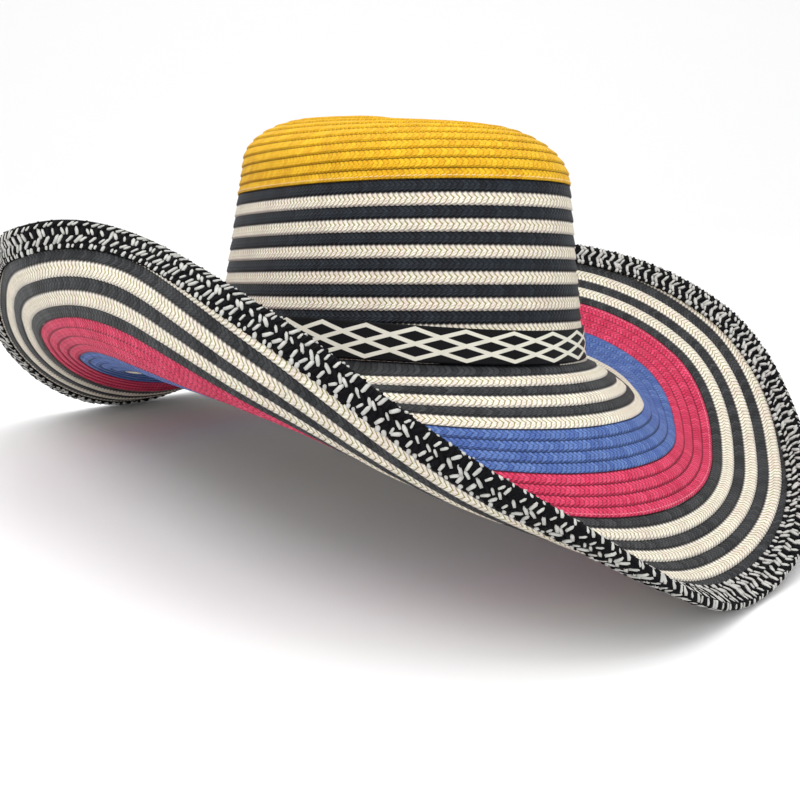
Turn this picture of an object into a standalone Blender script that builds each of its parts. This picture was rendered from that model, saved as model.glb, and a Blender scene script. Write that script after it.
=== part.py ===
"""Vueltiao hat: an oval crown with a flat top, a ribbon round its foot, and a wide brim that is rolled up at
the sides and dips at the front and the back.

Metres, +Z up. The front of the hat points to -Y and its left, as worn, to +X. Every piece is a thin wall of
sewn braid. Azimuths are in degrees: 0 at the front, 90 at the wearer's left, 180 at the back. The hat is
modelled about the foot of its crown, then pitched to the way it stands on the two dips of its brim."""

import math

import bmesh
import bpy
from mathutils import Matrix, Vector

# Walls and joints
WALL = 0.002
GAP = 0.0003
TAPE = 0.001
AZIMUTH_STEPS = 72

# Crown, to the middle of its wall
FOOT_RADIUS = 0.095
OVAL = 0.011
NOSE = -0.002
SQUARE = 0.002
CROWN_COLUMNS = ("azimuth", "foot_height", "lean", "shoulder_drop", "shoulder_reach", "top_height")
CROWN_SECTIONS = (
    (0, 0.0005, 0.07, 0.029, 0.049, 0.118),
    (90, 0.0035, 0.26, 0.025, 0.043, 0.124),
    (180, -0.0075, 0.13, 0.021, 0.037, 0.130),
    (270, 0.0035, 0.26, 0.025, 0.043, 0.124),
)
YELLOW_EDGE = 0.088
STAND_OFF = 0.0018
TOP_DISH = 0.002

# Band round the foot of the crown
BAND_COLUMNS = ("azimuth", "bottom", "top")
BAND_EDGES = (
    (0, 0.0010, 0.0168),
    (90, 0.0014, 0.0190),
    (180, 0.0022, 0.0225),
    (270, 0.0012, 0.0200),
)

# Brim: the slope of each section in degrees, up is positive, at the crown, half-way out and at the rim,
# with its width along the curve, and how far out the blue rows start
BRIM_COLUMNS = ("azimuth", "root", "middle", "rim", "width", "blue_start")
BRIM_SECTIONS = (
    (0, -36, -53, -20, 0.1425, 0.0380),
    (30, -25, -36, 49, 0.1420, 0.0405),
    (60, -27, 9, 54, 0.1415, 0.0460),
    (90, -21, 31, 59, 0.1425, 0.0505),
    (120, -18, 29, 72, 0.1445, 0.0515),
    (150, -6, 14, 50, 0.1470, 0.0500),
    (180, 0, -18, -2, 0.1480, 0.0490),
    (210, -12, 22, 86, 0.1470, 0.0500),
    (240, -24, 33, 86, 0.1445, 0.0515),
    (270, -27, 32, 160, 0.1425, 0.0505),
    (300, -20, 2, 140, 0.1415, 0.0460),
    (330, -28, -33, 64, 0.1420, 0.0405),
)
SLOPE_STEPS = 24
PROBE = 0.0005
MERGE = 1e-6

# Rows of braid, outwards, and the edging
BLUE = 0.0236
RED = 0.0236
EDGING = 0.0138
RIM_ROOM = 0.002

# How the hat stands
REST_PITCH = -7.36
REST_ROLL = 4.49
REST_PLACE = (-0.01798, -0.01478, 0.07292)

COLOURS = {
    "yellow": ((0.83, 0.50, 0.03, 1), 0.75),
    "stripes": ((0.30, 0.29, 0.27, 1), 0.78),
    "ribbon": ((0.01, 0.01, 0.012, 1), 0.45),
    "blue": ((0.10, 0.20, 0.58, 1), 0.75),
    "red": ((0.72, 0.03, 0.10, 1), 0.75),
    "tape": ((0.06, 0.06, 0.065, 1), 0.7),
}


def around(table, columns, name, azimuth):
    """A column's value at an azimuth: its rows are evenly spaced, and a smooth curve passes through them."""
    at = columns.index(name)
    count = len(table)
    place = (azimuth % 360) / (360 / count)
    first = int(place) % count
    t = place - int(place)
    a, b, c, d = (table[(first + k) % count][at] for k in (-1, 0, 1, 2))
    return b + 0.5 * t * (c - a + t * (2 * a - 5 * b + 4 * c - d + t * (3 * (b - c) + d - a)))


def plan(azimuth):
    """A point of the crown's foot and the level direction straight out of it."""
    turn = math.radians(azimuth)
    radius = FOOT_RADIUS + OVAL * math.cos(2 * turn) + NOSE * math.cos(3 * turn)
    radius += SQUARE * math.cos(4 * turn)
    change = -2 * OVAL * math.sin(2 * turn) - 3 * NOSE * math.sin(3 * turn)
    change -= 4 * SQUARE * math.sin(4 * turn)
    outward = Vector((math.sin(turn), -math.cos(turn), 0))
    along = Vector((math.cos(turn), math.sin(turn), 0))
    return outward * radius, (outward * radius - along * change).normalized()


def foot_height(azimuth):
    """The foot of the crown isn't quite level: it follows the roll of the brim."""
    return around(CROWN_SECTIONS, CROWN_COLUMNS, "foot_height", azimuth)


def crown_side(azimuth, height):
    point, out = plan(azimuth)
    lean = around(CROWN_SECTIONS, CROWN_COLUMNS, "lean", azimuth)
    return point - out * lean * height + Vector((0, 0, height))


def crown_shoulder(azimuth, turn):
    """The round of the shoulder, from the side of the crown at 0 to its flat top at 1."""
    drop = around(CROWN_SECTIONS, CROWN_COLUMNS, "shoulder_drop", azimuth)
    reach = around(CROWN_SECTIONS, CROWN_COLUMNS, "shoulder_reach", azimuth)
    top = around(CROWN_SECTIONS, CROWN_COLUMNS, "top_height", azimuth)
    angle = turn * math.pi / 2
    inward = plan(azimuth)[1] * reach * (1 - math.cos(angle))
    return crown_side(azimuth, top - drop * (1 - math.sin(angle))) - inward


def crown_lid(azimuth, inward):
    """The flat top, from its edge at 0 to the middle at 1, where it lies a little lower."""
    tops = [row[CROWN_COLUMNS.index("top_height")] for row in CROWN_SECTIONS]
    middle = Vector((0, 0, sum(tops) / len(tops) - TOP_DISH))
    return crown_shoulder(azimuth, 1).lerp(middle, inward)


def brim_width(azimuth):
    return around(BRIM_SECTIONS, BRIM_COLUMNS, "width", azimuth)


def brim(azimuth, distance):
    """A point in the middle of the brim's wall, this far out along its curved section."""
    root = math.radians(around(BRIM_SECTIONS, BRIM_COLUMNS, "root", azimuth))
    middle = math.radians(around(BRIM_SECTIONS, BRIM_COLUMNS, "middle", azimuth))
    rim = math.radians(around(BRIM_SECTIONS, BRIM_COLUMNS, "rim", azimuth))
    width = brim_width(azimuth)
    level = 0.0
    height = 0.0
    for k in range(SLOPE_STEPS):
        t = (k + 0.5) / SLOPE_STEPS * distance / width
        t = min(max(t, 0), 1)
        slope = root * (1 - t) * (1 - 2 * t) + middle * 4 * t * (1 - t) + rim * t * (2 * t - 1)
        level += math.cos(slope) * distance / SLOPE_STEPS
        height += math.sin(slope) * distance / SLOPE_STEPS
    point, out = plan(azimuth)
    return point + out * level + Vector((0, 0, foot_height(azimuth) + height))


def lifted(surface, azimuth, along, lift):
    """A point straight above a surface, or below it where lift is negative. On the crown, above is inside."""
    here = surface(azimuth, along)
    forward = surface(azimuth, along + PROBE) - surface(azimuth, along - PROBE)
    sideways = surface(azimuth + 1, along) - surface(azimuth - 1, along)
    return here + forward.cross(sideways).normalized() * lift


def material(name):
    colour, roughness = COLOURS[name]
    made = bpy.data.materials.new(name)
    made.use_nodes = True
    shader = made.node_tree.nodes["Principled BSDF"]
    shader.inputs["Base Color"].default_value = colour
    shader.inputs["Roughness"].default_value = roughness
    made.diffuse_color = colour
    return made


def ring(name, finish, section):
    """A body that runs round the hat. Its section is a closed loop of functions, each from an azimuth to a
    point, and a flat grid is wrapped through them and closed both ways."""
    shape = bmesh.new()
    bmesh.ops.create_grid(shape, x_segments=AZIMUTH_STEPS, y_segments=len(section), size=1)
    for corner in shape.verts:
        step = round((corner.co.x + 1) / 2 * AZIMUTH_STEPS) % AZIMUTH_STEPS
        place = round((corner.co.y + 1) / 2 * len(section)) % len(section)
        corner.co = section[place](step * 360 / AZIMUTH_STEPS)
    bmesh.ops.remove_doubles(shape, verts=shape.verts, dist=MERGE)
    bmesh.ops.delete(shape, geom=[edge for edge in shape.edges if not edge.link_faces], context="EDGES")
    bmesh.ops.triangulate(shape, faces=shape.faces, quad_method="SHORT_EDGE")
    bmesh.ops.recalc_face_normals(shape, faces=shape.faces)
    mesh = bpy.data.meshes.new(name)
    shape.to_mesh(mesh)
    shape.free()
    mesh.materials.append(finishes[finish])
    piece = bpy.data.objects.new(name, mesh)
    hat.objects.link(piece)
    piece.parent = stand


def wall(surface, places, outer=WALL / 2, inner=-WALL / 2):
    """The section of a thin wall: one face there, the other face back."""
    there = [lambda azimuth, at=at: lifted(surface, azimuth, at, outer) for at in places]
    back = [lambda azimuth, at=at: lifted(surface, azimuth, at, inner) for at in reversed(places)]
    return there + back


def crown_wall(azimuth, upward):
    """The crown's side, from just above the brim at 0 to the yellow rows at 1."""
    bottom = foot_height(azimuth) + STAND_OFF
    return crown_side(azimuth, bottom + (YELLOW_EDGE - GAP / 2 - bottom) * upward)


def crown_top(azimuth, inward):
    """The yellow rows: the rest of the side up to 0, the shoulder up to 1 and the lid up to 2."""
    start = YELLOW_EDGE + GAP / 2
    if inward < 0:
        return crown_side(azimuth, start).lerp(crown_shoulder(azimuth, 0), 1 + inward)
    if inward <= 1:
        return crown_shoulder(azimuth, inward)
    return crown_lid(azimuth, inward - 1)


def ribbon(azimuth, upward):
    """The crown's side under the band, from the band's lower edge at 0 to its upper edge at 1."""
    bottom = around(BAND_EDGES, BAND_COLUMNS, "bottom", azimuth)
    top = around(BAND_EDGES, BAND_COLUMNS, "top", azimuth)
    return crown_side(azimuth, foot_height(azimuth) + bottom + (top - bottom) * upward)


def rim(azimuth, past):
    """The brim again, measured from its rim instead of from the crown: inside the rim is negative."""
    return brim(azimuth, brim_width(azimuth) + past)


def zone(starts_after, ends_after):
    """A part of the brim between two distances from where the blue rows start, with its places from 0 to 1.
    It keeps half a gap at each end. A zone that starts after nothing starts under the crown's wall, and one
    that ends after nothing ends at the edging."""

    def surface(azimuth, place):
        blue_start = around(BRIM_SECTIONS, BRIM_COLUMNS, "blue_start", azimuth)
        start = -WALL / 2 if starts_after is None else blue_start + starts_after + GAP / 2
        end = brim_width(azimuth) - EDGING if ends_after is None else blue_start + ends_after - GAP / 2
        return brim(azimuth, start + (end - start) * place)

    return surface


for old in list(bpy.data.objects):
    bpy.data.objects.remove(old)
hat = bpy.data.collections.new("vueltiao_hat")
bpy.context.scene.collection.children.link(hat)
finishes = {name: material(name) for name in COLOURS}

# The empty carries every piece, and turns the hat from the crown's own frame to the way it stands
stand = bpy.data.objects.new("stand", None)
hat.objects.link(stand)
turned = Matrix.Rotation(math.radians(REST_ROLL), 4, "Y") @ Matrix.Rotation(math.radians(REST_PITCH), 4, "X")
stand.matrix_world = Matrix.Translation(REST_PLACE) @ turned

# The yellow rows, whose two faces each close in a point at the middle of the lid
places = [-1, 0, 0.25, 0.5, 0.75, 1, 1.5]
top = wall(crown_top, places, -WALL / 2, WALL / 2)
for height in (-WALL / 2, WALL / 2):
    tip = crown_lid(0, 1) + Vector((0, 0, height))
    top.insert(len(places), lambda azimuth, tip=tip: tip)
ring("crown_top", "yellow", top)

# The crown's wall, which stands on the inner brim, and the ribbon round its foot
ring("crown_wall", "stripes", wall(crown_wall, [0, 0.25, 1], -WALL / 2, WALL / 2))
against = -WALL / 2 - GAP
ring("hat_band", "ribbon", wall(ribbon, [0, 1], against - TAPE, against))

# The brim's zones of rows, from the crown outwards. The outer one ends inside the fold of the edging
thirds = [0, 1 / 3, 2 / 3, 1]
ring("brim_inner", "stripes", wall(zone(None, 0), thirds))
ring("brim_blue", "blue", wall(zone(0, BLUE), [0, 0.5, 1]))
ring("brim_red", "red", wall(zone(BLUE, BLUE + RED), [0, 0.5, 1]))
rows = wall(zone(BLUE + RED, None), thirds)
folded = wall(rim, [-EDGING / 2, -RIM_ROOM])
ring("brim_outer", "stripes", rows[:4] + folded + rows[4:])

# The edging is a tape folded over the rim: its outside from the top round to the underside, then its inside
inside = WALL / 2 + GAP
outside = inside + TAPE
rounding = outside / 2
fold = wall(rim, [-EDGING, -EDGING / 2, -RIM_ROOM], outside, -outside)
fold[3:3] = wall(rim, [0], rounding, -rounding)
fold += wall(rim, [-EDGING, -EDGING / 2, GAP - RIM_ROOM], -inside, inside)
ring("brim_edging", "tape", fold)
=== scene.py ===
# %% [markdown]
# # A vueltiao hat in yellow, blue and red
#
# The hat is one long flat braid of straw, coiled from the middle of the crown and sewn to itself, row
# after row, out to the rim. Black and ivory rows alternate between the plain yellow, blue and red ones. A
# ribbon with a printed lattice goes round the crown, and a woven tape is folded over the rim.
#
# The solid model gives eight thin walls. This lesson replaces each by a finer one on the same surface, then
# adds the laps, stitches and weave. The size of the solids is kept for comparison at the end.

# %% Load the solid model
import math

import bpy
import numpy as np
from mathutils import Matrix, Vector


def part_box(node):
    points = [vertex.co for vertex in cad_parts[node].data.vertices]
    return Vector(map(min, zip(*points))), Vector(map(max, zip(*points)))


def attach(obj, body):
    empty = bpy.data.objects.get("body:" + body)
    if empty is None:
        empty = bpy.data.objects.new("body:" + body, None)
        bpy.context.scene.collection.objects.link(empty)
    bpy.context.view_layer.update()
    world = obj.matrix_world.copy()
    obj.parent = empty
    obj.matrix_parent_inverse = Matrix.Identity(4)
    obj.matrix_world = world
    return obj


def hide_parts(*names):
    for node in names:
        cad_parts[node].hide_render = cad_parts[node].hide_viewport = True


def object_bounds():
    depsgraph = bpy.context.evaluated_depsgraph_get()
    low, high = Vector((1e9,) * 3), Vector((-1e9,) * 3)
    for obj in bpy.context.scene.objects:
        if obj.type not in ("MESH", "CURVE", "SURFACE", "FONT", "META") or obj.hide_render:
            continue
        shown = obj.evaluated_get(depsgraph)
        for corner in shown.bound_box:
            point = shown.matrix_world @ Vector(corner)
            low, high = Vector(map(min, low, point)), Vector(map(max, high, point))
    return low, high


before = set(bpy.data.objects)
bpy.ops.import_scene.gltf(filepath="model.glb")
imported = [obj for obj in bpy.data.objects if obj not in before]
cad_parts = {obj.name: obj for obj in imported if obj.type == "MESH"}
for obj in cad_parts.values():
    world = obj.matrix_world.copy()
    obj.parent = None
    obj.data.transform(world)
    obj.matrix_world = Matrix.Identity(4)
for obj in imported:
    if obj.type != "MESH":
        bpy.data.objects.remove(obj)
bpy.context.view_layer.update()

# %% [markdown]
# ## The shape of the hat
#
# The crown is an oval tube with a round shoulder, and the brim is a curved section carried round it. The
# slope of each brim section runs smoothly from the crown to the rim, and twelve sections are enough,
# because a smooth curve through the table gives the rest. These are the numbers of the solid model, so each
# surface below lies exactly in the middle of a solid wall. Lengths are in metres, angles in degrees, and an
# azimuth is 0 at the front and 90 at the wearer's left.

# %% The numbers of the solid model
WALL = 0.002
GAP = 0.0003
TAPE = 0.001
FOOT_RADIUS = 0.095
OVAL = 0.011
NOSE = -0.002
SQUARE = 0.002
CROWN_COLUMNS = ("azimuth", "foot_height", "lean", "shoulder_drop", "shoulder_reach", "top_height")
CROWN_SECTIONS = (
    (0, 0.0005, 0.07, 0.029, 0.049, 0.118),
    (90, 0.0035, 0.26, 0.025, 0.043, 0.124),
    (180, -0.0075, 0.13, 0.021, 0.037, 0.130),
    (270, 0.0035, 0.26, 0.025, 0.043, 0.124),
)
YELLOW_EDGE = 0.088
STAND_OFF = 0.0018
TOP_DISH = 0.002
BAND_COLUMNS = ("azimuth", "bottom", "top")
BAND_EDGES = (
    (0, 0.0010, 0.0168),
    (90, 0.0014, 0.0190),
    (180, 0.0022, 0.0225),
    (270, 0.0012, 0.0200),
)
BRIM_COLUMNS = ("azimuth", "root", "middle", "rim", "width", "blue_start")
BRIM_SECTIONS = (
    (0, -36, -53, -20, 0.1425, 0.0380),
    (30, -25, -36, 49, 0.1420, 0.0405),
    (60, -27, 9, 54, 0.1415, 0.0460),
    (90, -21, 31, 59, 0.1425, 0.0505),
    (120, -18, 29, 72, 0.1445, 0.0515),
    (150, -6, 14, 50, 0.1470, 0.0500),
    (180, 0, -18, -2, 0.1480, 0.0490),
    (210, -12, 22, 86, 0.1470, 0.0500),
    (240, -24, 33, 86, 0.1445, 0.0515),
    (270, -27, 32, 160, 0.1425, 0.0505),
    (300, -20, 2, 140, 0.1415, 0.0460),
    (330, -28, -33, 64, 0.1420, 0.0405),
)
SLOPE_STEPS = 24
PROBE = 0.0005
BLUE = 0.0236
RED = 0.0236
EDGING = 0.0138
RIM_ROOM = 0.002
REST_PITCH = -7.36
REST_ROLL = 4.49
REST_PLACE = (-0.01798, -0.01478, 0.07292)
print("solid model:", len(CROWN_SECTIONS), "crown sections and", len(BRIM_SECTIONS), "brim sections")

# %% [markdown]
# The functions work on whole grids of azimuths and distances at once, because a wall here has tens of
# thousands of points and one point at a time would take minutes.


# %% Surfaces of the crown and the brim
def around(table, columns, name, azimuth):
    """A column's value at each azimuth, on a smooth curve through the table's rows."""
    values = np.array([row[columns.index(name)] for row in table], float)
    place = np.mod(azimuth, 360) / (360 / len(values))
    first = np.floor(place).astype(int)
    t = place - first
    a, b, c, d = (values[(first + k) % len(values)] for k in (-1, 0, 1, 2))
    return b + 0.5 * t * (c - a + t * (2 * a - 5 * b + 4 * c - d + t * (3 * (b - c) + d - a)))


def crown_value(name, azimuth):
    return around(CROWN_SECTIONS, CROWN_COLUMNS, name, azimuth)


def brim_value(name, azimuth):
    return around(BRIM_SECTIONS, BRIM_COLUMNS, name, azimuth)


def unit(vectors):
    return vectors / np.linalg.norm(vectors, axis=-1, keepdims=True)


def level(x, y):
    return np.stack([x, y, np.zeros_like(x)], axis=-1)


def upright(height):
    return np.stack([0 * height, 0 * height, height], axis=-1)


def plan(azimuth):
    """The crown's foot seen from above, and the level direction straight out of it."""
    turn = np.radians(azimuth)
    radius = FOOT_RADIUS + OVAL * np.cos(2 * turn) + NOSE * np.cos(3 * turn) + SQUARE * np.cos(4 * turn)
    change = -2 * OVAL * np.sin(2 * turn) - 3 * NOSE * np.sin(3 * turn) - 4 * SQUARE * np.sin(4 * turn)
    outward = level(np.sin(turn), -np.cos(turn))
    along = level(np.cos(turn), np.sin(turn))
    out = outward * radius[..., None] - along * change[..., None]
    return outward * radius[..., None], unit(out)


def crown_side(azimuth, height):
    point, out = plan(azimuth)
    return point - out * (crown_value("lean", azimuth) * height)[..., None] + upright(height)


def crown_top(azimuth, inward):
    """The yellow part: the rest of the side up to 0, the shoulder up to 1 and the lid up to 2."""
    azimuth, inward = np.broadcast_arrays(azimuth, inward)
    drop = crown_value("shoulder_drop", azimuth)
    reach = crown_value("shoulder_reach", azimuth)
    top = crown_value("top_height", azimuth)
    start = crown_side(azimuth, np.full_like(top, YELLOW_EDGE + GAP / 2))
    angle = np.clip(inward, 0, 1) * math.pi / 2
    shoulder = crown_side(azimuth, top - drop * (1 - np.sin(angle)))
    shoulder = shoulder - plan(azimuth)[1] * (reach * (1 - np.cos(angle)))[..., None]
    shoulder = shoulder + (start - shoulder) * np.clip(-inward, 0, 1)[..., None]
    tops = [row[CROWN_COLUMNS.index("top_height")] for row in CROWN_SECTIONS]
    middle = np.array([0, 0, sum(tops) / len(tops) - TOP_DISH])
    return shoulder + (middle - shoulder) * np.clip(inward - 1, 0, 1)[..., None]


def brim(azimuth, distance):
    """The middle of the brim's wall, this far out along its curved section."""
    azimuth, distance = np.broadcast_arrays(azimuth, distance)
    root, middle, rim = (np.radians(brim_value(name, azimuth)) for name in ("root", "middle", "rim"))
    width = brim_value("width", azimuth)
    out_by = np.zeros_like(distance)
    up_by = crown_value("foot_height", azimuth)
    for k in range(SLOPE_STEPS):
        t = np.clip((k + 0.5) / SLOPE_STEPS * distance / width, 0, 1)
        slope = root * (1 - t) * (1 - 2 * t) + middle * 4 * t * (1 - t) + rim * t * (2 * t - 1)
        out_by = out_by + np.cos(slope) * distance / SLOPE_STEPS
        up_by = up_by + np.sin(slope) * distance / SLOPE_STEPS
    point, out = plan(azimuth)
    return point + out * out_by[..., None] + upright(up_by)


def lifted(surface, azimuth, along, lift):
    """Points straight above a surface, or below it where lift is negative. On the crown, above is inside."""
    forward = surface(azimuth, along + PROBE) - surface(azimuth, along - PROBE)
    sideways = surface(azimuth + 1, along) - surface(azimuth - 1, along)
    across = unit(np.cross(forward, sideways))
    azimuth, along, lift = np.broadcast_arrays(azimuth, along, lift)
    return surface(azimuth, along) + across * lift[..., None]


turned = Matrix.Rotation(math.radians(REST_ROLL), 4, "Y") @ Matrix.Rotation(math.radians(REST_PITCH), 4, "X")
stand = Matrix.Translation(REST_PLACE) @ turned


def standing(points):
    """From the crown's own frame to the way the hat stands."""
    return points @ np.array(stand.to_3x3()).T + np.array(REST_PLACE)


ends = np.array([0.0, 180.0])
front, back = standing(brim(ends, brim_value("width", ends)))
print("rim from front to back:", round(float(np.linalg.norm(back - front)), 3), "m")

# %% [markdown]
# ## Walls made of rows
#
# One row of braid is nearly 6 mm wide, and each row overlaps the next one outwards, like roof tiles. On a
# screen it shows as a low slope that ends in a sharp little step. The grid of a wall therefore has five
# lines of points in each row, two of them close together on both sides of the step. A wall is built as a
# closed shell of two faces, and every point remembers which row it is on, in an attribute, so that the
# node tree after this one can shape the rows. The UV map "braid" counts plaits along a row and rows across,
# so that patterns follow the braid however the wall is curved. Each row starts a part of a plait after its
# neighbour, as a coil does, so that the V shapes of two rows don't line up.

# %% Closed walls with row numbers
PLAIT = 0.0054
OUTER_LINES = (0.02, 0.3, 0.6, 0.86, 0.985)
INNER_LINES = (0.02, 0.5, 0.97)
UNDER = 101
TUCK = 0.03
ROW_SHIFT = 0.37


def lines(count, fractions):
    """The places of a wall's lines of points, counted in rows, and the row value that each one carries."""
    value = np.array([row + part for row in range(count) for part in fractions] + [count - 0.001])
    place = value.copy()
    place[0] = -TUCK
    place[-1] = count
    return place, value


def shell(name, faces, repeats=None):
    """A closed ring with two faces, each (points, row values, fade), from one edge to the other. The second
    one is the underside, where laps run the other way, so its row values are turned. repeats sets how many
    times a pattern goes round, where it isn't the number of plaits. A negative volume means that the faces
    point inwards, and then their corners are turned round."""
    (outer, outer_rows, outer_fade), (inner, inner_rows, inner_fade) = faces
    points = np.concatenate([outer, inner[:, ::-1]], axis=1)
    values = np.concatenate([outer_rows, UNDER - inner_rows[::-1]])
    fade = np.concatenate([outer_fade, inner_fade[:, ::-1]], axis=1)
    count, stations = points.shape[:2]
    index = np.arange(count * stations).reshape(count, stations)
    ring = np.roll(index, -1, axis=0)
    next_index = np.roll(index, -1, axis=1)
    quads = np.stack([index, ring, np.roll(ring, -1, axis=1), next_index], axis=-1)
    middle = 0.5 * (points + np.roll(points, -1, axis=1))
    steps = np.linalg.norm(np.roll(middle, -1, axis=0) - middle, axis=-1)
    travel = np.concatenate([np.zeros((1, stations)), np.cumsum(steps, axis=0)])
    plaits = np.round(travel[-1] / PLAIT) if repeats is None else np.full(stations, float(repeats))
    row_of = np.floor(0.5 * (values + np.roll(values, -1)))
    same_row = [np.flatnonzero(row_of == row)[0] for row in row_of]
    share = travel / travel[-1]
    along = share[:, same_row] * plaits[same_row] + ROW_SHIFT * row_of
    u = np.stack([along[:-1], along[1:], along[1:], along[:-1]], axis=-1)
    here, there = values, np.roll(values, -1)
    v = np.broadcast_to(np.stack([here, here, there, there], axis=-1), u.shape)
    corners = standing(points.reshape(-1, 3))
    quads = quads.reshape(-1, 4)
    a, b, c, d = (corners[quads[:, k]] for k in range(4))
    volume = sum((a * np.cross(first, second)).sum() for first, second in ((b, c), (c, d)))
    order = [3, 2, 1, 0] if volume < 0 else [0, 1, 2, 3]
    quads = quads[:, order]
    uv = np.stack([u, v], axis=-1).reshape(-1, 4, 2)[:, order]
    return make_mesh(name, corners, quads, uv, np.tile(values, count), fade.reshape(-1))


def put_in_scene(name, data):
    made = bpy.data.objects.new(name, data)
    bpy.context.scene.collection.objects.link(made)
    return made


def make_mesh(name, corners, quads, uv, values, fade):
    mesh = bpy.data.meshes.new(name)
    mesh.from_pydata(corners.tolist(), [], quads.tolist())
    mesh.uv_layers.new(name="braid").data.foreach_set("uv", uv.astype(np.float32).ravel())
    for title, numbers in (("row", values), ("fade", fade)):
        mesh.attributes.new(title, "FLOAT", "POINT").data.foreach_set("value", numbers.astype(np.float32))
    mesh.shade_smooth()
    return put_in_scene(name, mesh)


def azimuth_grid(count):
    return (np.arange(count) * 360 / count)[:, None]


print("lines of points in a row:", len(OUTER_LINES), "on the outside,", len(INNER_LINES), "on the inside")

# %% [markdown]
# ## Small helpers for node trees
#
# Both kinds of node tree use the same Math node, so one helper serves them. It takes numbers or sockets and
# gives back the result's socket, which keeps a formula readable as one line. Every geometry tree ends the
# same way, with real geometry that has its material set, so that is a helper too.


# %% Helpers for node trees
def node(tree, kind, **settings):
    made = tree.nodes.new(kind)
    for key, value in settings.items():
        setattr(made, key, value)
    return made


def feed(socket, value):
    """Links another socket to this one, or sets its value."""
    if isinstance(value, bpy.types.NodeSocket):
        socket.id_data.links.new(value, socket)
    else:
        socket.default_value = value


def plug(made, **values):
    """Feeds a node's sockets by name, with _ for each space."""
    for name, value in values.items():
        feed(made.inputs[name.replace("_", " ")], value)
    return made


def calc(tree, operation, *values):
    made = node(tree, "ShaderNodeMath", operation=operation)
    for socket, value in zip(made.inputs, values):
        feed(socket, value)
    return made.outputs[0]


def ramp(tree, value, low, high, start=0.0, end=1.0):
    """A smooth step: start below low, end above high."""
    made = node(tree, "ShaderNodeMapRange", interpolation_type="SMOOTHSTEP")
    plug(made, Value=value, From_Min=low, From_Max=high, To_Min=start, To_Max=end)
    return made.outputs["Result"]


def blend(tree, factor, a, b, kind="MIX"):
    made = node(tree, "ShaderNodeMix", data_type="RGBA", blend_type=kind)
    colours = [socket for socket in made.inputs if socket.type == "RGBA"]
    feed(made.inputs[0], factor)
    feed(colours[0], a)
    feed(colours[1], b)
    return [socket for socket in made.outputs if socket.type == "RGBA"][0]


def darken(tree, colour, factor):
    """The colour times one number."""
    grey = node(tree, "ShaderNodeCombineColor")
    for channel in range(3):
        feed(grey.inputs[channel], factor)
    return blend(tree, 1.0, colour, grey.outputs[0], "MULTIPLY")


def attribute(tree, name, kind="FLOAT"):
    return plug(node(tree, "GeometryNodeInputNamedAttribute", data_type=kind), Name=name).outputs[0]


def new_group(name, kind, inputs, outputs):
    """A node group with named sockets. Inputs are (name, type) or (name, type, value)."""
    tree = bpy.data.node_groups.new(name, kind)
    for title, sort, *value in inputs:
        made = tree.interface.new_socket(title, in_out="INPUT", socket_type="NodeSocket" + sort)
        if value:
            made.default_value = value[0]
    for title, sort in outputs:
        tree.interface.new_socket(title, in_out="OUTPUT", socket_type="NodeSocket" + sort)
    return tree, tree.nodes.new("NodeGroupInput").outputs, tree.nodes.new("NodeGroupOutput").inputs


def finish_tree(tree, geometry, given, result):
    real = plug(node(tree, "GeometryNodeRealizeInstances"), Geometry=geometry)
    dress = plug(node(tree, "GeometryNodeSetMaterial"), Geometry=real.outputs[0], Material=given["Finish"])
    feed(result[0], dress.outputs[0])
    print(tree.name, "tree:", len(tree.nodes), "nodes")


def apply_tree(piece, tree, **values):
    """Puts a geometry node tree on a piece, sets its inputs by identifier and bakes the result."""
    modifier = piece.modifiers.new(tree.name, "NODES")
    modifier.node_group = tree
    found = {item.name: item.identifier for item in tree.interface.items_tree if item.in_out == "INPUT"}
    for name, value in values.items():
        modifier[found[name.replace("_", " ")]] = value
    evaluated = piece.evaluated_get(bpy.context.evaluated_depsgraph_get())
    baked = bpy.data.meshes.new_from_object(evaluated)
    piece.modifiers.clear()
    piece.data = baked
    baked.name = piece.name


# %% [markdown]
# ## The tree that shapes the rows
#
# Real rows could be modelled one by one, but they all follow one rule: a row rises from under its inner
# neighbour to its own outer edge, then drops. So one Geometry Nodes tree reads each point's row value, takes
# its fraction as the place across the row, and moves the point along its normal by that rule. A little
# noise makes the sewing uneven, because hand work is never flat. The attribute "fade" takes the shape away
# where the wall is hidden in a fold.

# %% Geometry Nodes: braid rows
braid_tree, given, result = new_group(
    "braid rows",
    "GeometryNodeTree",
    [
        ("Wall", "Geometry"),
        ("Lap height", "Float", 0.0008),
        ("Unevenness", "Float", 0.0006),
        ("Patch size", "Float", 0.02),
        ("Seed", "Float", 3.0),
        ("Finish", "Material"),
    ],
    [("Wall", "Geometry")],
)
across = calc(braid_tree, "FRACT", attribute(braid_tree, "row"))
slope = calc(braid_tree, "SUBTRACT", across, 0.5)
rounded = ramp(braid_tree, across, 0.8, 1.0, 0.0, 0.3)
lap = calc(braid_tree, "MULTIPLY", calc(braid_tree, "SUBTRACT", slope, rounded), given["Lap height"])
noise = node(braid_tree, "ShaderNodeTexNoise", noise_dimensions="4D")
plug(noise, W=given["Seed"], Scale=calc(braid_tree, "DIVIDE", 1.0, given["Patch size"]), Detail=1.5)
off_level = calc(braid_tree, "SUBTRACT", noise.outputs[0], 0.5)
uneven = calc(braid_tree, "MULTIPLY", off_level, given["Unevenness"])
height = calc(braid_tree, "MULTIPLY", calc(braid_tree, "ADD", lap, uneven), attribute(braid_tree, "fade"))
normal = node(braid_tree, "GeometryNodeInputNormal")
push = node(braid_tree, "ShaderNodeVectorMath", operation="SCALE")
plug(push, Vector=normal.outputs[0], Scale=height)
move = node(braid_tree, "GeometryNodeSetPosition")
plug(move, Geometry=given["Wall"], Offset=push.outputs[0])
finish_tree(braid_tree, move.outputs[0], given, result)


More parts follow.
